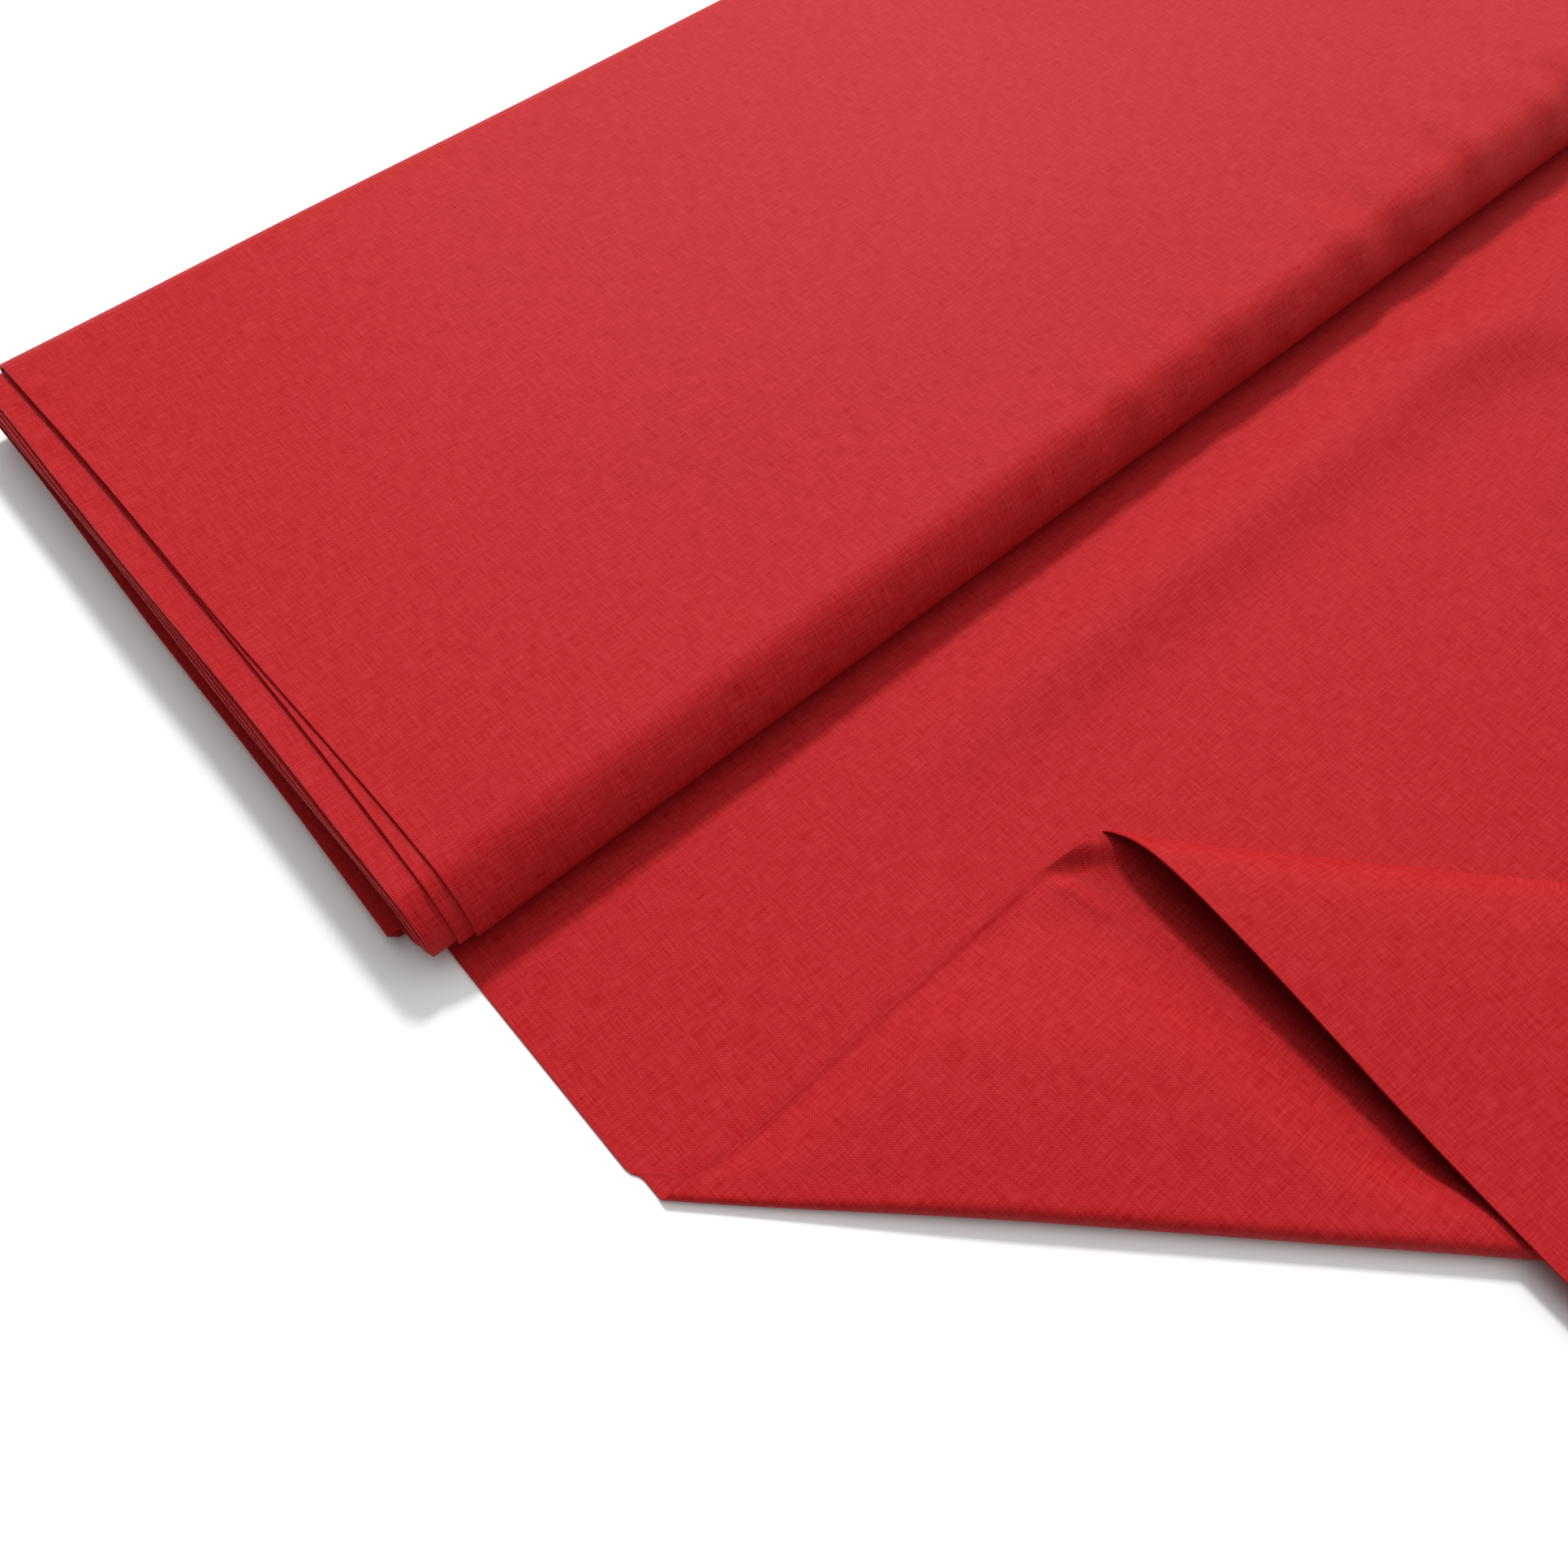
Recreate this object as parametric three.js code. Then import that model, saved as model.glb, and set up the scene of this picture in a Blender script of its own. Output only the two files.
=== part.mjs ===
// A flat bolt of doubled quilting cotton wound on a folded corrugated board. The cloth that has
// been paid out lies in front of the bolt with its corner pleated back on itself.
// Sizes are millimetres. X runs along the board, the loose cloth runs towards -Y and +Z is up.
import * as THREE from "three";

// Cloth.
const CLOTH_WIDTH = 560;
const CLOTH_THICKNESS = 0.55;
const LAY_GAP = 0.3;
const RUN_OFF_LENGTH = 320;

// Bolt: the finished width over the windings, and how far each turn's left end stands out from
// the paid-out cloth's edge, outermost turn first. There is one turn for each entry.
const BOLT_WIDTH = 200;
const TURN_END_STEPS = [-2.5, -0.5, 3.7, 4.6, 5.8, 7.3];

// Board.
const BOARD_LENGTH = 520;
const BOARD_THICKNESS = 10;
const BOARD_EDGE_CLEARANCE = 1;
const LINER_THICKNESS = 0.5;
const FLUTE_HEIGHT = 1.9;
const FLUTE_SHEET_THICKNESS = 0.4;
const FLUTE_PITCH = 6.5;
const EDGE_WALL_THICKNESS = 0.8;
const RIB_WIDTH = 3;
const RIB_COUNT = 3;

// Pleated corner of the paid-out cloth. Each crease is where the cloth would turn if it were folded
// flat, and both lie at the same angle to the bolt's length.
const FRONT_CREASE_START = 68.4;
const CREASE_ANGLE = 44;
const FRONT_FOLD_HEIGHT = 4.4;
const PLEAT_EDGE_LENGTH = 114.6;
const BACK_FOLD_HEIGHT = 11;

const ARC_SEGMENTS = 20;
const FLUTE_SEGMENTS = 8;

// Sizes that follow from the ones above.
const TURNS = TURN_END_STEPS.length;
const LAY_PITCH = CLOTH_THICKNESS + LAY_GAP;
const LAY_STACK = (TURNS - 1) * LAY_PITCH + CLOTH_THICKNESS;
const BOLT_THICKNESS = BOARD_THICKNESS + 2 * (LAY_GAP + LAY_STACK);
const FRONT_ROLL_Y = (BOLT_THICKNESS - LAY_PITCH) / 2;
const BACK_ROLL_Y = BOLT_WIDTH - BOLT_THICKNESS / 2;
const SHEET_LEFT = -CLOTH_WIDTH / 2;
const SHEET_RIGHT = CLOTH_WIDTH / 2;

const cottonRed = new THREE.MeshStandardMaterial({
  name: "cotton",
  color: new THREE.Color(0.76, 0.19, 0.21),
  roughness: 0.88,
  metalness: 0,
});
const kraftCard = new THREE.MeshStandardMaterial({
  name: "card",
  color: new THREE.Color(0.72, 0.56, 0.38),
  roughness: 0.9,
  metalness: 0,
});

const bolt = new THREE.Group();
bolt.name = "fabric_bolt";

function addPiece(name, geometry, material) {
  const piece = new THREE.Mesh(geometry, material);
  piece.name = name;
  bolt.add(piece);
}

// Points of an arc about (cy, cz), both ends included.
function arcPoints(cy, cz, radius, fromDegrees, toDegrees) {
  const points = [];
  for (let i = 0; i <= ARC_SEGMENTS; i += 1) {
    const angle = THREE.MathUtils.degToRad(
      fromDegrees + ((toDegrees - fromDegrees) * i) / ARC_SEGMENTS,
    );
    points.push(new THREE.Vector2(cy + radius * Math.cos(angle), cz + radius * Math.sin(angle)));
  }
  return points;
}

// A closed section swept straight from one point to another. The section's first coordinate lies
// along "across" and its second is height.
function sweepSection(section, from, to, across) {
  const along = to.clone().sub(from);
  const length = along.length();
  const geometry = new THREE.ExtrudeGeometry(new THREE.Shape(section), {
    depth: length,
    bevelEnabled: false,
  });
  const frame = new THREE.Matrix4();
  frame.makeBasis(across, new THREE.Vector3(0, 0, 1), along.divideScalar(length));
  frame.setPosition(from);
  geometry.applyMatrix4(frame);
  return geometry;
}

function sweepAlongX(section, left, right) {
  const from = new THREE.Vector3(left, 0, 0);
  const to = new THREE.Vector3(right, 0, 0);
  return sweepSection(section, from, to, new THREE.Vector3(0, 1, 0));
}

function rectangleSection(low, high, bottom, top) {
  return [
    new THREE.Vector2(low, bottom),
    new THREE.Vector2(high, bottom),
    new THREE.Vector2(high, top),
    new THREE.Vector2(low, top),
  ];
}

// One turn of the flat winding, counted from the outside: along the bottom, round the back edge,
// along the top and down round the front edge to the level where the next turn starts.
function turnSide(turn, inset) {
  const level = turn * LAY_PITCH;
  const isOuter = turn === 0;
  const isInner = turn === TURNS - 1;
  const startY = isOuter ? LAY_GAP : FRONT_ROLL_Y + LAY_GAP;
  const endAngle = isInner ? 250 : 270;
  const backRadius = BOLT_THICKNESS / 2 - level - inset;
  const frontRadius = (BOLT_THICKNESS - LAY_PITCH) / 2 - level - inset;
  const frontZ = (BOLT_THICKNESS + LAY_PITCH) / 2;
  return [
    new THREE.Vector2(startY, level + inset),
    ...arcPoints(BACK_ROLL_Y, BOLT_THICKNESS / 2, backRadius, -90, 90),
    ...arcPoints(FRONT_ROLL_Y, frontZ, frontRadius, 90, endAngle),
  ];
}

function addTurn(turn) {
  const outside = turnSide(turn, 0);
  const inside = turnSide(turn, CLOTH_THICKNESS);
  const section = [...outside, ...inside.reverse()];
  const left = SHEET_LEFT - TURN_END_STEPS[turn];
  const name = `winding_turn_${turn + 1}`;
  addPiece(name, sweepAlongX(section, left, left + CLOTH_WIDTH), cottonRed);
}

for (let turn = 0; turn < TURNS; turn += 1) {
  addTurn(turn);
}

// Board: a folded blank of corrugated card. Each face is two liners with a fluted sheet between
// them, the long edges are turned walls and narrow ribs keep the two faces apart.
const boardFront = FRONT_ROLL_Y + BOARD_EDGE_CLEARANCE;
const boardBack = BACK_ROLL_Y;
const boardBottom = LAY_STACK + LAY_GAP;
const boardTop = boardBottom + BOARD_THICKNESS;
const boardLeft = -BOARD_LENGTH / 2;
const boardRight = BOARD_LENGTH / 2;
const panelFront = boardFront + EDGE_WALL_THICKNESS + LAY_GAP;
const panelBack = boardBack - EDGE_WALL_THICKNESS - LAY_GAP;
const fluteOffset = LINER_THICKNESS + LAY_GAP;
const innerLinerOffset = fluteOffset + FLUTE_HEIGHT + LAY_GAP;
const facePanelDepth = innerLinerOffset + LINER_THICKNESS;

function addBoardPiece(name, section) {
  addPiece(name, sweepAlongX(section, boardLeft, boardRight), kraftCard);
}

// A fluted sheet is a wave of constant upright thickness.
function fluteSection(bottom) {
  const count = Math.floor((panelBack - panelFront) / FLUTE_PITCH) * FLUTE_SEGMENTS;
  const amplitude = (FLUTE_HEIGHT - FLUTE_SHEET_THICKNESS) / 2;
  const lower = [];
  const upper = [];
  for (let i = 0; i <= count; i += 1) {
    const y = panelFront + (i * FLUTE_PITCH) / FLUTE_SEGMENTS;
    const z = bottom + amplitude * (1 - Math.cos((2 * Math.PI * i) / FLUTE_SEGMENTS));
    lower.push(new THREE.Vector2(y, z));
    upper.unshift(new THREE.Vector2(y, z + FLUTE_SHEET_THICKNESS));
  }
  return [...lower, ...upper];
}

function plate(low, high, bottom, thickness) {
  return rectangleSection(low, high, bottom, bottom + thickness);
}

const topFlute = boardTop - fluteOffset - FLUTE_HEIGHT;
const topInnerLiner = boardTop - facePanelDepth;
const topOuterLiner = boardTop - LINER_THICKNESS;
const bottomInnerLiner = boardBottom + innerLinerOffset;
addBoardPiece("board_top_outer_liner", plate(boardFront, boardBack, topOuterLiner, LINER_THICKNESS));
addBoardPiece("board_top_fluting", fluteSection(topFlute));
addBoardPiece("board_top_inner_liner", plate(panelFront, panelBack, topInnerLiner, LINER_THICKNESS));
addBoardPiece("board_bottom_inner_liner", plate(panelFront, panelBack, bottomInnerLiner, LINER_THICKNESS));
addBoardPiece("board_bottom_fluting", fluteSection(boardBottom + fluteOffset));
addBoardPiece("board_bottom_outer_liner", plate(boardFront, boardBack, boardBottom, LINER_THICKNESS));

const wallHeight = BOARD_THICKNESS - 2 * fluteOffset;
const wallBottom = boardBottom + fluteOffset;
const backWallFront = boardBack - EDGE_WALL_THICKNESS;
addBoardPiece("board_front_edge_wall", plate(boardFront, boardFront + EDGE_WALL_THICKNESS, wallBottom, wallHeight));
addBoardPiece("board_back_edge_wall", plate(backWallFront, boardBack, wallBottom, wallHeight));

const ribHeight = BOARD_THICKNESS - 2 * (facePanelDepth + LAY_GAP);
const ribBottom = boardBottom + facePanelDepth + LAY_GAP;
for (let i = 0; i < RIB_COUNT; i += 1) {
  const middle = panelFront + ((i + 1) * (panelBack - panelFront)) / (RIB_COUNT + 1);
  const front = middle - RIB_WIDTH / 2;
  addBoardPiece(`board_rib_${i + 1}`, plate(front, front + RIB_WIDTH, ribBottom, ribHeight));
}

// Paid-out cloth. The front fold turns the corner up and back into the pleat, and the back fold
// turns it forward again into the top leaf.
const creaseAngle = THREE.MathUtils.degToRad(CREASE_ANGLE);
const crease = new THREE.Vector2(Math.cos(creaseAngle), -Math.sin(creaseAngle));
const creaseForward = new THREE.Vector2(crease.y, -crease.x);

function reflectPoint(point, lineStart) {
  const offset = point.clone().sub(lineStart);
  const along = crease.clone().multiplyScalar(2 * offset.dot(crease));
  return along.sub(offset).add(lineStart);
}

// Where the line through a start along the creases meets the line through two points.
function meetLine(start, first, second) {
  const other = second.clone().sub(first);
  const t = first.clone().sub(start).cross(other) / crease.cross(other);
  return start.clone().addScaledVector(crease, t);
}

// How far a point lies behind the line through a start along the creases.
function distanceBehind(point, start) {
  return -point.clone().sub(start).dot(creaseForward);
}

function movedForward(point, distance) {
  return point.clone().addScaledVector(creaseForward, distance);
}

const sheetLeftEdge = new THREE.Vector2(SHEET_LEFT, 0);
const cutLeft = new THREE.Vector2(SHEET_LEFT, -RUN_OFF_LENGTH);
const cutRight = new THREE.Vector2(SHEET_RIGHT, -RUN_OFF_LENGTH);
const frontCreaseLeft = new THREE.Vector2(SHEET_LEFT, -FRONT_CREASE_START);
const frontCreaseRight = meetLine(frontCreaseLeft, cutLeft, cutRight);
const pleatCutCorner = reflectPoint(cutLeft, frontCreaseLeft);
const pleatEdge = pleatCutCorner.clone().sub(frontCreaseLeft).normalize();
const backCreaseLeft = frontCreaseLeft.clone().addScaledVector(pleatEdge, PLEAT_EDGE_LENGTH);
const backCreaseRight = meetLine(backCreaseLeft, pleatCutCorner, frontCreaseRight);
const leafCutCorner = reflectPoint(pleatCutCorner, backCreaseLeft);

// A fold is a half tube, so its axis lies a quarter of its round length behind the flat crease.
const frontInset = (Math.PI / 4) * FRONT_FOLD_HEIGHT;
const backInset = (Math.PI / 4) * BACK_FOLD_HEIGHT;
const frontAxisStart = movedForward(frontCreaseLeft, -frontInset);
const backAxisStart = movedForward(backCreaseLeft, backInset);
const behindFrontFold = movedForward(frontAxisStart, -LAY_GAP);
const beforeBackFold = movedForward(backAxisStart, LAY_GAP);

// A sheet of cloth with a given outline. "bottomAt" gives the height of its underside.
function clothSheet(outline, bottomAt) {
  const geometry = new THREE.ExtrudeGeometry(new THREE.Shape(outline), {
    depth: CLOTH_THICKNESS,
    bevelEnabled: false,
  });
  const position = geometry.attributes.position;
  for (let i = 0; i < position.count; i += 1) {
    const point = new THREE.Vector2(position.getX(i), position.getY(i));
    position.setZ(i, position.getZ(i) + bottomAt(point));
  }
  geometry.computeVertexNormals();
  return geometry;
}

// The bent cloth along a fold: half a tube that stands on "bottom" and bulges to one side.
function clothFold(from, to, outward, bottom, height) {
  const radius = height / 2;
  const centre = bottom + radius;
  const outside = arcPoints(0, centre, radius, -90, 90);
  const inside = arcPoints(0, centre, radius - CLOTH_THICKNESS, 90, -90);
  const across = new THREE.Vector3(outward.x, outward.y, 0);
  const start = new THREE.Vector3(from.x, from.y, 0);
  const end = new THREE.Vector3(to.x, to.y, 0);
  return sweepSection([...outside, ...inside], start, end, across);
}

const sheetOutline = [
  sheetLeftEdge,
  meetLine(behindFrontFold, sheetLeftEdge, cutLeft),
  meetLine(behindFrontFold, cutLeft, cutRight),
  cutRight,
  new THREE.Vector2(SHEET_RIGHT, 0),
];
addPiece("run_off_sheet", clothSheet(sheetOutline, () => 0), cottonRed);

const frontAxisEnd = movedForward(frontCreaseRight, -frontInset);
addPiece(
  "front_fold",
  clothFold(frontAxisEnd, frontAxisStart, creaseForward, 0, FRONT_FOLD_HEIGHT),
  cottonRed,
);

const pleatDepth = distanceBehind(backAxisStart, frontAxisStart);
const pleatHigh = FRONT_FOLD_HEIGHT - CLOTH_THICKNESS;
const pleatLow = LAY_PITCH;
const pleatOutline = [
  meetLine(behindFrontFold, frontCreaseLeft, pleatCutCorner),
  meetLine(behindFrontFold, frontCreaseRight, pleatCutCorner),
  meetLine(beforeBackFold, frontCreaseRight, pleatCutCorner),
  meetLine(beforeBackFold, frontCreaseLeft, pleatCutCorner),
];
function pleatBottomAt(point) {
  const share = distanceBehind(point, frontAxisStart) / pleatDepth;
  return pleatHigh + (pleatLow - pleatHigh) * share;
}
addPiece("pleat", clothSheet(pleatOutline, pleatBottomAt), cottonRed);

const backAxisEnd = movedForward(backCreaseRight, backInset);
addPiece(
  "back_fold",
  clothFold(backAxisStart, backAxisEnd, creaseForward.clone().negate(), LAY_PITCH, BACK_FOLD_HEIGHT),
  cottonRed,
);

// The top leaf slopes from the back fold down to where it lies on the front fold.
const leafHigh = LAY_PITCH + BACK_FOLD_HEIGHT - CLOTH_THICKNESS;
const leafLow = FRONT_FOLD_HEIGHT + LAY_GAP;
const leafRun = pleatDepth + FRONT_FOLD_HEIGHT / 2;
const leafOutline = [
  meetLine(beforeBackFold, backCreaseLeft, leafCutCorner),
  leafCutCorner,
  meetLine(beforeBackFold, backCreaseRight, leafCutCorner),
];
function leafBottomAt(point) {
  const share = -distanceBehind(point, backAxisStart) / leafRun;
  return leafHigh + (leafLow - leafHigh) * share;
}
addPiece("top_leaf", clothSheet(leafOutline, leafBottomAt), cottonRed);

// The origin is the middle of the whole object's footprint, on the table.
const bounds = new THREE.Box3().setFromObject(bolt);
const middle = bounds.getCenter(new THREE.Vector3());
bolt.position.set(-middle.x, -middle.y, -bounds.min.z);

export default bolt;
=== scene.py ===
"""A flat bolt of doubled red cotton with some cloth run off and pleated back at its near corner."""

import math

import bpy
import numpy as np
from mathutils import Matrix, Vector


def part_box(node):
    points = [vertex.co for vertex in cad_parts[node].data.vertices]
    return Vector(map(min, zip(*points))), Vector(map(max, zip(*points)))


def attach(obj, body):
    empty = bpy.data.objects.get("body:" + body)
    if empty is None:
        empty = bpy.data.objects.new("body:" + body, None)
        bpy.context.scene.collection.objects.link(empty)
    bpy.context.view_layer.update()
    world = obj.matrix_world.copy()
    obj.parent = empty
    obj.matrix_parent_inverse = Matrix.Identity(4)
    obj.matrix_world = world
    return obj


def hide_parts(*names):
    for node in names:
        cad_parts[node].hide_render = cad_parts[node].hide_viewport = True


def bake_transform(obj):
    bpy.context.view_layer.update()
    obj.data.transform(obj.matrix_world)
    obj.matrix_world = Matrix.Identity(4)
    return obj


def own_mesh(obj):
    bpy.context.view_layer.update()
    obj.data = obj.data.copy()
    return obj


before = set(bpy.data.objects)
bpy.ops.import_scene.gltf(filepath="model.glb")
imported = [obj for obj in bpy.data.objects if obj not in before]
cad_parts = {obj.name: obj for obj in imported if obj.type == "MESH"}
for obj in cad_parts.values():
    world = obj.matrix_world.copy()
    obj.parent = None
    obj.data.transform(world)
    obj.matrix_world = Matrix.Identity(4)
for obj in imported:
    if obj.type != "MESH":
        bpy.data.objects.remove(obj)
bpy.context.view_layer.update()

MM = 0.001

# Places taken from the frame. "across" runs from the contact line towards the loose cloth.
SHEET_LOW, SHEET_HIGH = (np.array(corner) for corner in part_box("run_off_sheet"))
LEFT_X = SHEET_LOW[0]
CONTACT_Y = SHEET_HIGH[1]
CLOTH_WIDTH = SHEET_HIGH[0] - SHEET_LOW[0]
RUN_OFF_LENGTH = SHEET_HIGH[1] - SHEET_LOW[1]
TURN_NAMES = [f"winding_turn_{number}" for number in range(1, 7)]
LAY_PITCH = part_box("winding_turn_2")[0][2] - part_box("winding_turn_1")[0][2]

# Doubled cloth, and the height of the middle of a layer that lies on the table.
CLOTH = 0.5 * MM
LAID = 0.3 * MM

# A layer's rim stands out by this share of its thickness, faces that meet at more than the sharp
# angle are shaded as an edge, and no length that is divided by is less than the tiny one.
RIM_BULGE = 0.3
SHARP_ANGLE = math.radians(48)
TINY = 1e-12

# The front crease, as in the frame: its angle to the bolt and where it meets the folded edge.
CREASE_ANGLE = math.radians(44)
FRONT_CREASE_START = 68.4 * MM
CREASE_COS = math.cos(CREASE_ANGLE)
CREASE_SIN = math.sin(CREASE_ANGLE)
CREASE_TAN = math.tan(CREASE_ANGLE)

# The back crease: where it ends at the folded edge of the cloth, measured along and behind the
# front crease, and how it closes on the front crease.
BACK_CREASE_END = 84.6 * MM
BACK_CREASE_DEPTH = 82.0 * MM
BACK_CREASE_TILT = 0.055

# Where the bends end on their neighbours: cloth below and above the front crease, and cloth
# before and after the back crease.
BEND_START = -8 * MM
BEND_END = 12 * MM
LOOP_START = -8 * MM
LOOP_END = 17 * MM

# The cloth past the small tuck beside the back crease has slid this far along it.
TUCK_SLIDE = 4.6 * MM

# The fold line stands this far in front of its straight place at the corner, and this far from
# the fold reach on.
CORNER_SHIFT = -2.1 * MM
FAR_SHIFT = 1.2 * MM
FOLD_REACH = 165 * MM

# Cloth between the back crease and the leaf's front edge.
LEAF_REACH = 98.6 * MM

# Sines in each octave of noise.
WAVES = 5


# ---------------------------------------------------------------- numpy helpers


def smooth(value, low, high):
    """Smoothstep: 0 below low, 1 above high, and 3t^2 - 2t^3 between them."""
    t = np.clip((value - low) / (high - low), 0.0, 1.0)
    return t * t * (3.0 - 2.0 * t)


def bump(value, middle, half_width):
    """A bell: exp(-(distance / half width)^2)."""
    return np.exp(-(((value - middle) / half_width) ** 2))


def value_noise(x, y, seed, octaves):
    """Sum of sines of random direction and phase: each octave doubles their rate and halves their
    size."""
    source = np.random.default_rng(seed)
    total = np.zeros_like(x + y)
    for octave in range(octaves):
        for _ in range(WAVES):
            angle = source.uniform(0, 2 * math.pi)
            phase = source.uniform(0, 2 * math.pi)
            rate = (2.0**octave) * source.uniform(0.7, 1.4)
            wave = np.sin(rate * (x * math.cos(angle) + y * math.sin(angle)) + phase)
            total += wave / (WAVES * 2**octave)
    return total


def to_frame(along, across, height):
    """Frame points from distance along the bolt, distance out from the contact line, and height."""
    return np.stack([LEFT_X + along, CONTACT_Y - across, height], axis=-1)


def grid_normals(points):
    """Unit cross product of the grid's two finite differences."""
    down = np.gradient(points, axis=0)
    over = np.gradient(points, axis=1)
    normal = np.cross(down, over)
    return normal / np.maximum(np.linalg.norm(normal, axis=-1, keepdims=True), TINY)


def border_loop(rows, columns):
    """Indices of a grid's edge, once round in order."""
    index = np.arange(rows * columns).reshape(rows, columns)
    return np.concatenate([index[0, :-1], index[:-1, -1], index[-1, :0:-1], index[:0:-1, 0]])


def make_mesh(name, points, faces, uv=None):
    """A mesh object from point and face arrays, with a UV per point copied to each corner."""
    mesh = bpy.data.meshes.new(name)
    mesh.from_pydata(points.tolist(), [], faces.tolist())
    if uv is not None:
        layer = mesh.uv_layers.new(name="cloth")
        corners = np.empty(len(mesh.loops), dtype=np.int32)
        mesh.loops.foreach_get("vertex_index", corners)
        layer.data.foreach_set("uv", uv[corners].astype(np.float32).ravel())
    mesh.polygons.foreach_set("use_smooth", np.ones(len(mesh.polygons), dtype=bool))
    mesh.set_sharp_from_angle(angle=SHARP_ANGLE)
    mesh.update()
    piece = bpy.data.objects.new(name, mesh)
    bpy.context.scene.collection.objects.link(piece)
    return piece


def cloth_layer(name, middle, uv, margin=0):
    """A closed layer of cloth: its middle surface moved half its thickness each way along the
    normal, joined round the edge by a ring that stands out by the rim's bulge. Margin rows and
    columns are only used for the slope."""
    normal = grid_normals(middle)
    if margin:
        inner = (slice(margin, -margin), slice(margin, -margin))
        middle, normal, uv = middle[inner], normal[inner], uv[inner]
    rows, columns = middle.shape[:2]
    count = rows * columns
    upper = (middle + normal * CLOTH / 2).reshape(-1, 3)
    lower = (middle - normal * CLOTH / 2).reshape(-1, 3)
    loop = border_loop(rows, columns)
    flat_middle = middle.reshape(-1, 3)
    flat_normal = normal.reshape(-1, 3)
    ring = flat_middle[loop]
    tangent = np.roll(ring, -1, axis=0) - np.roll(ring, 1, axis=0)
    outward = np.cross(tangent, flat_normal[loop])
    outward /= np.maximum(np.linalg.norm(outward, axis=1, keepdims=True), TINY)
    centre = flat_middle.mean(axis=0)
    if np.mean(np.einsum("ij,ij->i", outward, ring - centre)) < 0:
        outward = -outward
    ring = ring + outward * (RIM_BULGE * CLOTH)
    index = np.arange(count).reshape(rows, columns)
    quads = np.stack([index[:-1, :-1], index[1:, :-1], index[1:, 1:], index[:-1, 1:]], axis=-1)
    quads = quads.reshape(-1, 4)
    nearby = np.roll(loop, -1)
    ring_index = np.arange(len(loop)) + 2 * count
    ring_next = np.roll(ring_index, -1)
    faces = np.concatenate(
        [
            quads,
            quads[:, ::-1] + count,
            np.stack([loop, nearby, ring_next, ring_index], axis=-1),
            np.stack([ring_index, ring_next, nearby + count, loop + count], axis=-1),
        ]
    )
    point_uv = uv.reshape(-1, 2)
    points = np.concatenate([upper, lower, ring])
    return make_mesh(name, points, faces, np.concatenate([point_uv, point_uv, point_uv[loop]]))


# ---------------------------------------------------------------- folded corner


def crease_to_table(c, h):
    """Along and across of a point at c along the front crease and h in front of it."""
    return c * CREASE_COS - h * CREASE_SIN, FRONT_CREASE_START + c * CREASE_SIN + h * CREASE_COS


def table_to_crease(along, across):
    """The inverse: c along the front crease and h in front of it."""
    out = across - FRONT_CREASE_START
    return along * CREASE_COS + out * CREASE_SIN, -along * CREASE_SIN + out * CREASE_COS


def front_radius(c):
    """Bend radius of the front fold: tight at the corner, fuller along the fold."""
    return (0.9 + 1.5 * smooth(c, 0.0, 70 * MM)) * MM


def front_inset(c):
    """A quarter turn of the fold's round length."""
    return math.pi / 2 * front_radius(c)


def back_crease(c):
    """Depth of the back crease behind the front one, less by the tilt for each step along it."""
    return BACK_CREASE_DEPTH - BACK_CREASE_TILT * (c + TUCK_SLIDE - BACK_CREASE_END)


def loop_share(c):
    """1 at the open end of the back fold, falling to 0 far along it where the fold lies flat."""
    return 1 - smooth(c, 70 * MM, 235 * MM)


def run_off_height(along, across):
    """Waves of the cloth on the table: a long low ridge beside the bolt, a faint slanting swell
    further along, and nothing near the front fold."""
    ridge = bump(across, 30 * MM, 12 * MM) * smooth(along, 40 * MM, 190 * MM)
    ridge *= 1 - smooth(along, 300 * MM, 420 * MM)
    slant = bump(across - 0.55 * (along - 300 * MM), 35 * MM, 13 * MM)
    slant *= smooth(along, 250 * MM, 320 * MM) * smooth(across, 4 * MM, 24 * MM)
    swell = 0.5 + 0.5 * value_noise(along / (70 * MM), across / (45 * MM), 5, 2)
    swell *= smooth(along, 60 * MM, 240 * MM) * smooth(across, 12 * MM, 60 * MM)
    c, h = table_to_crease(along, across)
    calm = smooth(-h, 6 * MM, 34 * MM)
    return LAID + (3.8 * ridge + 2.4 * slant + 1.5 * swell) * MM * calm


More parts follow.
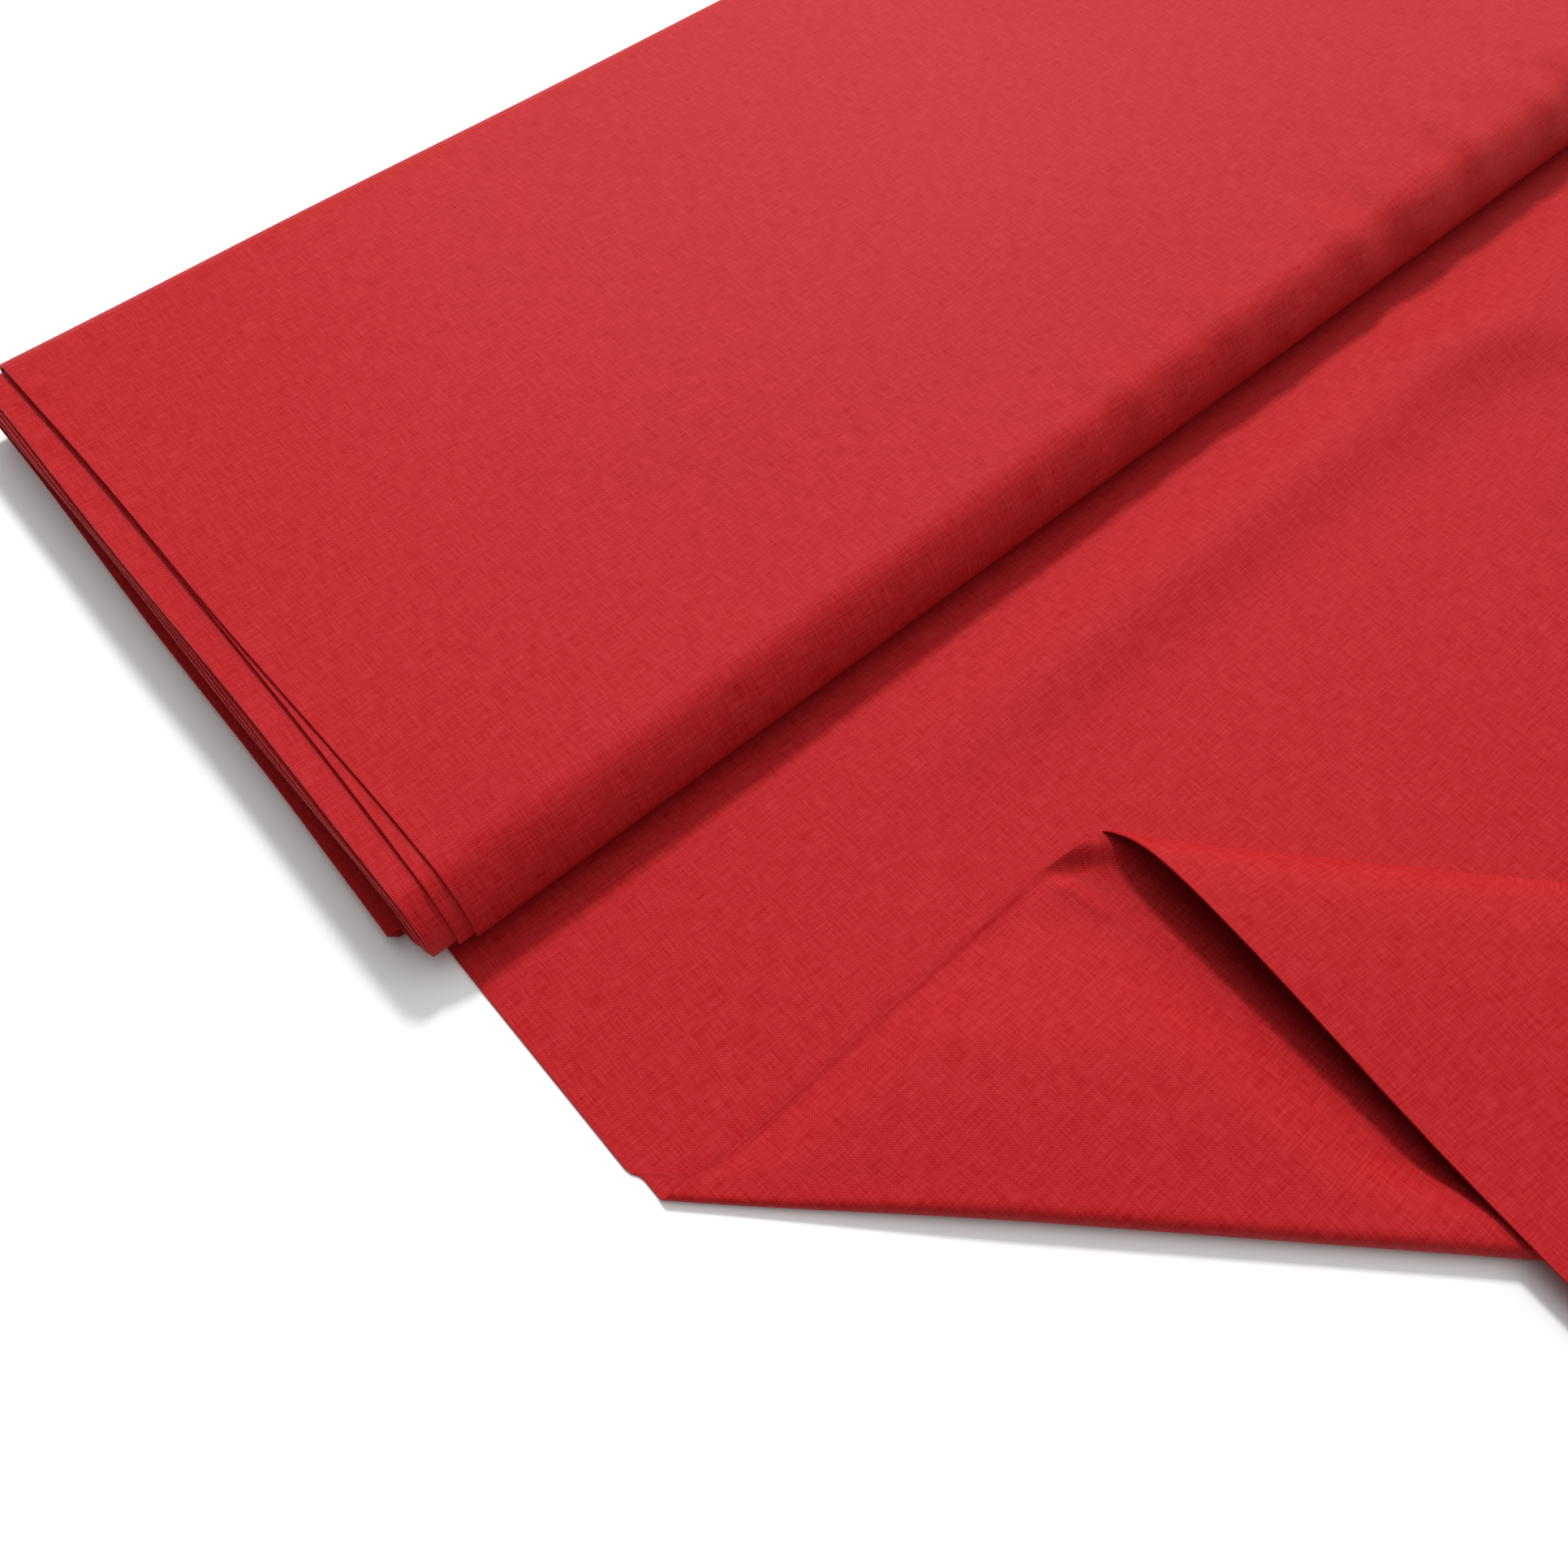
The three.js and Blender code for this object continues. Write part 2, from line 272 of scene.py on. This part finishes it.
def pleat_height(w, c):
    """The pleat keeps the height of the front fold over a low broad back, sinks to the cloth
    below, sooner where the leaf hides it, and rises again to the back crease, most of all beside
    the tuck at its open end. Its free edge lies close on the cloth below and curls up."""
    low = LAID + 0.75 * MM
    edge = c - w * CREASE_TAN
    depth = back_crease(c) - w
    hidden = smooth(c * CREASE_COS + w * CREASE_SIN, 92 * MM, 113 * MM) * smooth(w, 5 * MM, 18 * MM)
    free_edge = (1 - smooth(edge, -1 * MM, 18 * MM)) * smooth(w, 3 * MM, 16 * MM)
    front = (2 * front_radius(c) - 0.75 * MM) * (1 - smooth(w, 30 * MM, 66 * MM))
    front *= (1 - 0.9 * hidden) * (1 - 0.95 * free_edge)
    broad = 0.8 * MM * smooth(w, 0.0, 25 * MM) * (1 - smooth(w, 34 * MM, 68 * MM))
    broad *= (1 - hidden) * (1 - free_edge)
    lip = 0.65 * MM * bump(edge, 0.0, 1.6 * MM)
    lip *= smooth(w, 2 * MM, 12 * MM) * smooth(depth, 4 * MM, 14 * MM)
    open_end = bump(edge, 0.0, 15 * MM)
    crease_rise = (1.4 * loop_share(c) + 0.9 * open_end) * MM * (1 - smooth(depth, 1.0 * MM, 12 * MM))
    tuck = 1.5 * MM * open_end * (1 - smooth(depth, 2.5 * MM, 7 * MM))
    dent = -0.9 * MM * bump(edge, 4 * MM, 6 * MM) * bump(depth, 8.5 * MM, 2.5 * MM)
    off_line = 0.83 * (w - 74 * MM) + 0.56 * (c - 71.5 * MM)
    wrinkle = 0.5 * MM * bump(off_line, 0.0, 1.8 * MM) * bump(edge, 10 * MM, 16 * MM)
    wrinkle = wrinkle * smooth(depth, 6 * MM, 12 * MM)
    return low + front + broad + lip + crease_rise + tuck + dent + wrinkle


def leaf_height(q, c):
    """The top leaf stands up steeply from the back crease to the loop's height, then sinks to
    rest on the pleat and hangs a little past the front fold. Where two heights compete the
    greater one wins, as (a + b + sqrt((a - b)^2 + s^2)) / 2."""
    depth = back_crease(c)
    crease_z = pleat_height(depth, c)
    loop = (3.6 + 8.4 * loop_share(c)) * MM
    loop = np.maximum(loop, crease_z + 1.1 * MM)
    rest = LAID + 2 * front_radius(c) + 1.15 * MM
    level = loop + (rest - loop) * smooth(q, 20 * MM, 94 * MM)
    under = pleat_height(np.maximum(depth - q, front_inset(c)), c) + 0.75 * MM
    level = (level + under + np.sqrt((level - under) ** 2 + (0.6 * MM) ** 2)) / 2
    rise = 1 - np.exp(-np.maximum(q, 0.0) / ((3.4 + 4.6 * (1 - loop_share(c))) * MM))
    past = smooth(q, 80 * MM, 112 * MM)
    return crease_z + (level - crease_z) * rise - 3.0 * MM * past


def behind_front_fold(q, c):
    """Cloth behind the front fold, from q past the back crease: negative on the pleat, positive
    on the leaf. The crease is a small smooth turn, h = q^2 / sqrt(q^2 + t^2) - depth. Gives the
    middle of the cloth and how much cloth lies between it and the front crease."""
    turn = 0.9 * MM
    depth = back_crease(c)
    h = -depth + q**2 / np.sqrt(q**2 + turn**2)
    height = np.where(q < 0, pleat_height(-h, c), leaf_height(q, c))
    extra = 2.9 * MM * loop_share(c) * (1 - np.exp(-np.maximum(q, 0.0) / (3.4 * MM)))
    w = depth + q + extra
    slid = c + TUCK_SLIDE * smooth(w, 73 * MM, 83 * MM) - 1.0 * MM * smooth(w, 95 * MM, 150 * MM)
    along, across = crease_to_table(slid, h)
    return to_frame(along, across, height), w


def everywhere(value):
    """A limit of a strip that is the same all along the crease."""
    return lambda c: np.full_like(c, value)


def strip(q_low, q_high, rows, columns, gather=1.0, spread=None):
    """Cloth behind the front fold between two values of q, which may vary with c, from the folded
    edge of the cloth, c = w tan a, to its cut end, c = (length - w cos a) / sin a. One row and
    one column more on each side give the slope at the edges."""
    share = np.linspace(0.0, 1.0, columns) ** gather
    share = np.concatenate([[-share[1]], share, [1 + share[-1] - share[-2]]])[None, :]
    part = np.linspace(0.0, 1.0, rows) if spread is None else spread(np.linspace(0.0, 1.0, rows))
    part = np.concatenate([[-part[1]], part, [1 + part[-1] - part[-2]]])[:, None]
    c = np.full((rows + 2, columns + 2), BACK_CREASE_END)
    for _ in range(8):
        q = q_low(c) + (q_high(c) - q_low(c)) * part
        _middle, w = behind_front_fold(q, c)
        c_edge = w * CREASE_TAN
        c_cut = (RUN_OFF_LENGTH - FRONT_CREASE_START - w * CREASE_COS) / CREASE_SIN
        c = c_edge + (c_cut - c_edge) * share
    middle, w = behind_front_fold(q, c)
    return middle, flat_uv(w, c)


def flat_uv(w, c):
    """Flat cloth coordinates: along the bolt, and out from the contact line."""
    along, across = crease_to_table(c, w)
    return np.stack([along, across], axis=-1)


def make_run_off():
    """Grid from the contact line to the front bend or the cut end, lifted by the wave heights."""
    along = np.linspace(0.0, CLOTH_WIDTH, 300)[None, :]
    fold_line = FRONT_CREASE_START + along * CREASE_TAN + BEND_START / CREASE_COS
    reach = np.minimum(fold_line, RUN_OFF_LENGTH)
    across = np.linspace(0.0, 1.0, 140)[:, None] * reach
    along, across = np.broadcast_arrays(along, across)
    middle = to_frame(along, across, run_off_height(along, across))
    return cloth_layer("paid_out_cloth", middle, np.stack([along, across], axis=-1))


def make_front_bend():
    """Half a tube along the front crease, h = -inset + r cos a, height = r (1 + sin a), with a
    strip of flat cloth below it and a strip of the pleat above it. The fold stands back a little
    at the corner and forward along it."""
    turn = 4.0 * MM
    below = np.linspace(BEND_START, -turn, 5)[:-1]
    above = np.linspace(turn, BEND_END, 13)[1:]
    w = np.concatenate([below, np.linspace(-turn, turn, 21), above])
    w = np.concatenate([[2 * w[0] - w[1]], w, [2 * w[-1] - w[-2]]])[:, None]
    share = np.linspace(0.0, 1.0, 260)
    share = np.concatenate([[-share[1]], share, [1 + share[1]]])[None, :]
    c_edge = w * CREASE_TAN
    c_cut = (RUN_OFF_LENGTH - FRONT_CREASE_START - w * CREASE_COS) / CREASE_SIN
    c = c_edge + (c_cut - c_edge) * share
    w, c = np.broadcast_arrays(w, c)
    radius = front_radius(c)
    inset = front_inset(c)
    angle = np.clip(w / radius, -math.pi / 2, math.pi / 2)
    flat = np.maximum(np.abs(w) - inset, 0.0)
    h = -inset + radius * np.cos(angle) - flat
    held = smooth(w, BEND_START, -turn) * (1 - smooth(w, turn, BEND_END))
    h = h + (CORNER_SHIFT + (FAR_SHIFT - CORNER_SHIFT) * np.clip(c / FOLD_REACH, 0.0, 1.0)) * held
    height = LAID + radius * (1 + np.sin(angle))
    height = np.where(w > inset, pleat_height(w, c), height)
    along, across = crease_to_table(c, h)
    return cloth_layer("front_fold_bend", to_frame(along, across, height), flat_uv(w, c), margin=1)


def make_pleat():
    """The layer between the folds."""
    middle, uv = strip(
        lambda c: BEND_END - back_crease(c), everywhere(LOOP_START), 120, 230, gather=1.25
    )
    return cloth_layer("pleat_layer", middle, uv, margin=1)


def make_back_loop():
    """The back crease with the cloth beside it, rows crowded together at the crease."""
    crease_share = -LOOP_START / (LOOP_END - LOOP_START)

    def crowd(t):
        """Two squared runs that meet at the crease, two fifths of the rows before it."""
        return np.where(
            t < 0.4,
            crease_share * (1 - (1 - t / 0.4) ** 2),
            crease_share + (1 - crease_share) * np.clip((t - 0.4) / 0.6, 0, 1) ** 2,
        )

    middle, uv = strip(
        everywhere(LOOP_START), everywhere(LOOP_END), 60, 230, gather=1.25, spread=crowd
    )
    return cloth_layer("back_fold_loop", middle, uv, margin=1)


def make_leaf():
    """The layer that comes forward again, ending in a near point where its two edges meet."""
    middle, uv = strip(everywhere(LOOP_END), everywhere(LEAF_REACH), 100, 170)
    return cloth_layer("top_leaf_layer", middle, uv, margin=1)


# ---------------------------------------------------------------- wound turns

# Where each turn's left edge lies along the bolt, on the bottom, at the back of the top and at
# the front of the top, in millimetres from the run-off cloth's edge.
TURN_EDGES = [
    (0.0, 2.6, 5.7),
    (5.4, 5.6, 2.2),
    (-6.6, -4.0, -3.6),
    (-6.9, -4.6, -4.3),
    (-7.3, -5.2, -4.6),
    (-7.8, -5.6, -5.0),
]

# How strongly a turn's columns crowd towards its two ends.
END_CROWDING = 0.72


def turn_path(name, back_steps, top_steps):
    """Section of one flat turn as arrays of y, z and outward normal: bottom, back half circle,
    top and front half circle, with even steps on each."""
    low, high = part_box(name)
    half_cloth = (LAY_PITCH - 0.3 * MM) / 2
    back_radius_here = (high[2] - low[2]) / 2
    front_radius_here = (high[2] - low[2] - LAY_PITCH) / 2
    back_y = high[1] - back_radius_here
    front_y = low[1] + front_radius_here
    start_y = CONTACT_Y + 0.3 * MM if name == TURN_NAMES[0] else front_y + 0.3 * MM
    if name == TURN_NAMES[0]:
        front_y = CONTACT_Y + front_radius_here
    bottom = np.linspace(start_y, back_y, 10)[:-1]
    turn_back = np.linspace(-math.pi / 2, math.pi / 2, back_steps)
    top = np.linspace(back_y, front_y, top_steps)[1:-1]
    turn_front = np.linspace(math.pi / 2, 3 * math.pi / 2, back_steps + 14)
    z_back = (high[2] + low[2]) / 2
    z_front = high[2] - front_radius_here
    radius_b = back_radius_here - half_cloth
    radius_f = front_radius_here - half_cloth
    y = [bottom, back_y + radius_b * np.cos(turn_back), top, front_y + radius_f * np.cos(turn_front)]
    z = [
        np.full_like(bottom, low[2] + half_cloth),
        z_back + radius_b * np.sin(turn_back),
        np.full_like(top, high[2] - half_cloth),
        z_front + radius_f * np.sin(turn_front),
    ]
    ny = [np.zeros_like(bottom), np.cos(turn_back), np.zeros_like(top), np.cos(turn_front)]
    nz = [np.full_like(bottom, -1.0), np.sin(turn_back), np.ones_like(top), np.sin(turn_front)]
    return tuple(np.concatenate(part) for part in (y, z, ny, nz))


def wound_lift(along, y, z, ny):
    """How far the wound cloth stands off its even path: soft puckers on the front roll that grow
    along the bolt, and slow swells and slanting creases on the top."""
    back = y - CONTACT_Y
    front = np.clip(-ny, 0, 1) ** 0.6 * smooth(z, 5 * MM, 13 * MM)
    near_front = smooth(-back, -34 * MM, -6 * MM) * smooth(z, 12 * MM, 18 * MM)
    grow = 0.2 + 0.8 * smooth(along, 150 * MM, 300 * MM)
    slow = value_noise(along / (5.5 * MM), back / (26 * MM), 11, 1)
    quick = value_noise(along / (2.1 * MM), back / (14 * MM), 12, 1)
    quick *= smooth(along, 130 * MM, 270 * MM)
    on_top = smooth(z, 17 * MM, 19 * MM) * smooth(back, 2 * MM, 26 * MM)
    swell = 0.6 + value_noise((along + 0.5 * back) / (38 * MM), back / (30 * MM), 21, 2)
    streak = 0.5 + value_noise((along + 0.3 * back) / (6 * MM), back / (60 * MM), 33, 1)
    streak *= smooth(along, 220 * MM, 380 * MM) * bump(back, 45 * MM, 45 * MM)
    lift = (1.25 * (0.3 + slow) * grow + 1.1 * quick) * np.maximum(front, near_front)
    return (lift + (0.9 * swell + 0.35 * streak) * on_top) * MM


def belly(y, z):
    """How far the front roll sags forward: most at a quarter of its height, none on the flat
    layers, so that it hangs over the line where the cloth leaves the bolt."""
    return 3.8 * MM * smooth(CONTACT_Y - y, -10 * MM, -2 * MM) * (1 - smooth(z, 6 * MM, 18 * MM))


def make_turn(number, columns, top_steps):
    """The turn's path carried along the bolt, its left edge sliding between the given places, and
    moved off its path by the lift and the belly."""
    name = TURN_NAMES[number]
    y, z, ny, nz = turn_path(name, 16, top_steps)
    step = np.hypot(np.diff(y), np.diff(z))
    length = np.concatenate([[0.0], np.cumsum(step)])
    share = length / length[-1]
    bottom_edge, back_edge, front_edge = TURN_EDGES[number]
    edge = np.interp(share, [0.0, 0.48, 0.95, 1.0], [bottom_edge, back_edge, front_edge, front_edge])
    edge = (edge + 0.25 * np.sin(share * 23 + number)) * MM
    part = np.linspace(0.0, 1.0, columns)
    part = part - END_CROWDING * np.sin(2 * math.pi * part) / (2 * math.pi)
    along = edge[:, None] + part[None, :] * CLOTH_WIDTH
    lift = wound_lift(along, y[:, None], z[:, None], ny[:, None])
    lift = np.where(nz[:, None] < -0.9, 0.0, lift)
    front = y[:, None] + ny[:, None] * lift
    height = z[:, None] + nz[:, None] * lift
    front = front - belly(front, height)
    middle = np.stack([LEFT_X + along, front, height], axis=-1)
    flat = np.broadcast_arrays(part[None, :] * CLOTH_WIDTH, length[:, None])
    return cloth_layer(f"wound_cloth_{number + 1}", middle, np.stack(flat, axis=-1))


# ---------------------------------------------------------------- materials


class Nodes:
    """Short way to add and join the nodes of one material."""

    def __init__(self, name):
        self.material = bpy.data.materials.new(name)
        self.material.use_nodes = True
        self.tree = self.material.node_tree
        self.tree.nodes.clear()

    def add(self, kind, values=None, **properties):
        """A node with these socket values and properties."""
        node = self.tree.nodes.new(kind)
        for key, value in properties.items():
            setattr(node, key, value)
        for key, value in (values or {}).items():
            node.inputs[key].default_value = value
        return node

    def join(self, source, output, target, socket):
        """A link from one node's output to another's socket."""
        self.tree.links.new(source.outputs[output], target.inputs[socket])

    def math(self, operation, first, second):
        """A sum, product or sine of two inputs, each a number or a node with its output."""
        node = self.add("ShaderNodeMath", operation=operation)
        for slot, value in enumerate((first, second)):
            if isinstance(value, tuple):
                self.join(value[0], value[1], node, slot)
            else:
                node.inputs[slot].default_value = value
        return (node, 0)


# Thread spacing, the cotton's red, and what the valleys and crests of the weave make of it.
THREAD_PITCH = 0.46 * MM
COTTON_TINT = (0.4, 0.006, 0.0087)
VALLEY_SHARES = (0.76, 0.02, 0.05)
CREST_SHARES = (1.2, 4.4, 3.4)

# Rate of the slub noise across and along a thread, per metre.
SLUB_ACROSS = 2400.0
SLUB_ALONG = 160.0


def tinted(shares):
    """The cotton's red with each channel times its share."""
    return tuple(channel * share for channel, share in zip(COTTON_TINT, shares)) + (1,)


def cotton_material(name):
    """Plain weave: two crossed sets of sine threads on the cloth's own coordinates give bump and
    a slight change of colour; long thin noise along each set gives slubs."""
    n = Nodes(name)
    uv = n.add("ShaderNodeUVMap", uv_map="cloth")
    split = n.add("ShaderNodeSeparateXYZ")
    n.join(uv, "UV", split, "Vector")
    threads = 2 * math.pi / THREAD_PITCH
    warp = n.math("SINE", n.math("MULTIPLY", (split, "X"), threads), 0.0)
    weft = n.math("SINE", n.math("MULTIPLY", (split, "Y"), threads), 0.0)
    weave = n.math("MULTIPLY", warp, weft)
    slub_height = []
    for stretch in ((SLUB_ACROSS, SLUB_ALONG, 1.0), (SLUB_ALONG, SLUB_ACROSS, 1.0)):
        mapping = n.add("ShaderNodeMapping", {"Scale": stretch})
        n.join(uv, "UV", mapping, "Vector")
        noise = n.add("ShaderNodeTexNoise", {"Scale": 1.0, "Detail": 2.0, "Roughness": 0.5})
        n.join(mapping, "Vector", noise, "Vector")
        slub_height.append((noise, 0))
    slubs = n.math("ADD", slub_height[0], slub_height[1])
    cloudy = n.add("ShaderNodeTexNoise", {"Scale": 14.0, "Detail": 3.0, "Roughness": 0.55})
    n.join(uv, "UV", cloudy, "Vector")
    speck = n.add("ShaderNodeTexNoise", {"Scale": 900.0, "Detail": 1.0, "Roughness": 0.5})
    n.join(uv, "UV", speck, "Vector")
    mottled = n.math("ADD", n.math("MULTIPLY", slubs, 0.42), n.math("MULTIPLY", (cloudy, 0), 0.06))
    mottled = n.math("ADD", mottled, n.math("MULTIPLY", (speck, 0), 0.1))
    mottled = n.math("ADD", mottled, n.math("MULTIPLY", weave, 0.12))
    ramp = n.add("ShaderNodeValToRGB")
    ramp.color_ramp.elements[0].position = 0.28
    ramp.color_ramp.elements[0].color = tinted(VALLEY_SHARES)
    ramp.color_ramp.elements[1].position = 0.72
    ramp.color_ramp.elements[1].color = tinted(CREST_SHARES)
    n.join(*mottled, ramp, "Fac")
    height = n.math("ADD", n.math("MULTIPLY", weave, 0.5), n.math("MULTIPLY", slubs, 0.9))
    bump_node = n.add("ShaderNodeBump", {"Strength": 0.6, "Distance": 0.00008})
    n.join(*height, bump_node, "Height")
    shader = n.add(
        "ShaderNodeBsdfPrincipled",
        {
            "Roughness": 0.5,
            "Specular IOR Level": 0.16,
            "Specular Tint": (1.0, 0.26, 0.3, 1.0),
        },
    )
    n.join(ramp, "Color", shader, "Base Color")
    n.join(bump_node, "Normal", shader, "Normal")
    output = n.add("ShaderNodeOutputMaterial")
    n.join(shader, "BSDF", output, "Surface")
    return n.material


def card_material(name, stretch):
    """Kraft card: fibres are noise drawn out along the board, over a cloudy change of tone."""
    n = Nodes(name)
    coordinates = n.add("ShaderNodeTexCoord")
    fibre_map = n.add("ShaderNodeMapping", {"Scale": stretch})
    n.join(coordinates, "Object", fibre_map, "Vector")
    fibre = n.add("ShaderNodeTexNoise", {"Scale": 1.0, "Detail": 4.0, "Roughness": 0.6})
    n.join(fibre_map, "Vector", fibre, "Vector")
    cloudy = n.add("ShaderNodeTexNoise", {"Scale": 30.0, "Detail": 3.0, "Roughness": 0.5})
    n.join(coordinates, "Object", cloudy, "Vector")
    tone = n.math("ADD", n.math("MULTIPLY", (fibre, 0), 0.6), n.math("MULTIPLY", (cloudy, 0), 0.4))
    ramp = n.add("ShaderNodeValToRGB")
    ramp.color_ramp.elements[0].position = 0.3
    ramp.color_ramp.elements[0].color = (0.30, 0.185, 0.09, 1)
    ramp.color_ramp.elements[1].position = 0.7
    ramp.color_ramp.elements[1].color = (0.50, 0.34, 0.19, 1)
    n.join(*tone, ramp, "Fac")
    bump_node = n.add("ShaderNodeBump", {"Strength": 0.4, "Distance": 0.0001})
    n.join(*tone, bump_node, "Height")
    shader = n.add("ShaderNodeBsdfPrincipled", {"Roughness": 0.82, "Specular IOR Level": 0.3})
    n.join(ramp, "Color", shader, "Base Color")
    n.join(bump_node, "Normal", shader, "Normal")
    output = n.add("ShaderNodeOutputMaterial")
    n.join(shader, "BSDF", output, "Surface")
    return n.material


# ---------------------------------------------------------------- floor and pieces


def make_floor():
    """A wide flat square under everything, a hair lower than the cloth's underside."""
    half = 6.0
    corners = np.array([[-half, -half, 0], [half, -half, 0], [half, half, 0], [-half, half, 0]])
    corners[:, 2] = -0.05 * MM
    floor = make_mesh("studio_floor", corners, np.array([[0, 1, 2, 3]]))
    n = Nodes("pale_floor")
    shader = n.add("ShaderNodeBsdfPrincipled", {"Base Color": (0.9, 0.9, 0.9, 1), "Roughness": 0.9})
    output = n.add("ShaderNodeOutputMaterial")
    n.join(shader, "BSDF", output, "Surface")
    floor.data.materials.append(n.material)


cotton = cotton_material("red_plain_cotton")
make_floor()


def flat_size(piece):
    """Width, length and area of the flat cloth that a layer was made from, read from one face of
    its UV map: the smallest rectangle over a quarter turn of headings that holds every corner,
    and the area as half the sum of the corners' cross products."""
    mesh = piece.data
    uv = np.empty(2 * len(mesh.loops))
    mesh.uv_layers["cloth"].data.foreach_get("uv", uv)
    quads = uv.reshape(-1, 4, 2)
    following = np.roll(quads, -1, axis=1)
    crossed = quads[..., 0] * following[..., 1] - quads[..., 1] * following[..., 0]
    area = np.abs(crossed.sum(axis=1)).sum() / 4
    headings = np.radians(np.arange(90.0))[:, None]
    corners = quads[:, 0]
    sideways = np.cos(headings) * corners[:, 0] + np.sin(headings) * corners[:, 1]
    lengthways = np.cos(headings) * corners[:, 1] - np.sin(headings) * corners[:, 0]
    widths, lengths = np.ptp(sideways, axis=1), np.ptp(lengthways, axis=1)
    smallest = np.argmin(widths * lengths)
    return float(widths[smallest]), float(lengths[smallest]), float(area)


def add_cloth(piece, node):
    """Gives a layer its cotton and takes the place of its plain node; works out the flat cloth's
    width, length and area but keeps none of them.
    """
    piece.data.materials.append(cotton)
    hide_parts(node)
    width, length, area = flat_size(piece)
    area = min(area, width * length)
    return piece


run_off = add_cloth(make_run_off(), "run_off_sheet")
front_bend = add_cloth(make_front_bend(), "front_fold")
pleat = add_cloth(make_pleat(), "pleat")
back_loop = add_cloth(make_back_loop(), "back_fold")
leaf = add_cloth(make_leaf(), "top_leaf")
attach(run_off, "run_off")
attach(pleat, "pleat")
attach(leaf, "top_leaf")
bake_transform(front_bend)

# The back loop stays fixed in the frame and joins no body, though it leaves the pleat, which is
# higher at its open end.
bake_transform(back_loop)

for number, turn_name in enumerate(TURN_NAMES):
    columns, top_steps = (400, 60) if number == 0 else (90, 40)
    turn = add_cloth(make_turn(number, columns, top_steps), turn_name)
    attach(turn, "bolt")
    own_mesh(turn)

liner_card = card_material("kraft_liner", (40.0, 700.0, 400.0))
flute_card = card_material("kraft_fluting", (60.0, 400.0, 400.0))
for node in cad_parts:
    if node.startswith("board_"):
        panel = bpy.data.objects[node]
        chosen = flute_card if "fluting" in node else liner_card
        for slot in panel.material_slots:
            slot.material = chosen

# ---------------------------------------------------------------- light and camera


def heading(azimuth, elevation):
    """Unit vector at an azimuth turned from +Y towards +X, and an elevation above level."""
    level = math.cos(elevation)
    return Vector((math.sin(azimuth) * level, math.cos(azimuth) * level, math.sin(elevation)))


def add_area_light(name, target, direction, distance, size, power):
    """A square light that stands off the target in the direction given and faces it."""
    data = bpy.data.lights.new(name, "AREA")
    data.shape = "SQUARE"
    data.size = size
    data.energy = power
    light = bpy.data.objects.new(name, data)
    light.location = Vector(target) + direction * distance
    light.rotation_euler = direction.to_track_quat("Z", "Y").to_euler()
    bpy.context.scene.collection.objects.link(light)


middle_point = to_frame(0.15, 0.05, 0.0)
key_direction = heading(math.radians(34), math.radians(49))
add_area_light("key_softbox", middle_point, key_direction, distance=1.6, size=0.22, power=20.0)


def add_world():
    """Bright overhead and behind the object, dark low down and in front: radiance rises from low
    to high as a smoothstep of the cosine to the brightest direction."""
    world = bpy.data.worlds.new("soft_studio")
    world.use_nodes = True
    tree = world.node_tree
    tree.nodes["Background"].inputs["Color"].default_value = (1.0, 1.0, 1.0, 1.0)
    coordinates = tree.nodes.new("ShaderNodeTexCoord")
    brightest = tree.nodes.new("ShaderNodeVectorMath")
    brightest.operation = "DOT_PRODUCT"
    brightest.inputs[1].default_value = heading(math.radians(84), math.radians(60))
    spread = tree.nodes.new("ShaderNodeMapRange")
    spread.interpolation_type = "SMOOTHSTEP"
    spread.inputs["From Min"].default_value = 0.35
    spread.inputs["From Max"].default_value = 0.95
    spread.inputs["To Min"].default_value = 0.12
    spread.inputs["To Max"].default_value = 1.42
    tree.links.new(coordinates.outputs["Generated"], brightest.inputs[0])
    tree.links.new(brightest.outputs["Value"], spread.inputs["Value"])
    tree.links.new(spread.outputs["Result"], tree.nodes["Background"].inputs["Strength"])
    bpy.context.scene.world = world
    bpy.context.scene.view_settings.view_transform = "Standard"


add_world()


def add_camera():
    """Stands above the near end of the bolt: heading, tilt and roll as turned axes."""
    forward = heading(math.radians(39.52), math.radians(-59.52))
    roll = math.radians(-1.34)
    level_right = forward.cross(Vector((0, 0, 1))).normalized()
    level_up = level_right.cross(forward)
    right = level_right * math.cos(roll) + level_up * math.sin(roll)
    up = level_up * math.cos(roll) - level_right * math.sin(roll)
    data = bpy.data.cameras.new("camera")
    data.sensor_width = 36.0
    data.lens = 32.98
    data.clip_start = 0.01
    camera = bpy.data.objects.new("camera", data)
    turned = Matrix((right, up, -forward)).transposed().to_4x4()
    turned.translation = Vector(to_frame(-23.5 * MM, 134.9 * MM, 268.0 * MM))
    camera.matrix_world = turned
    bpy.context.scene.collection.objects.link(camera)
    bpy.context.scene.camera = camera


add_camera()
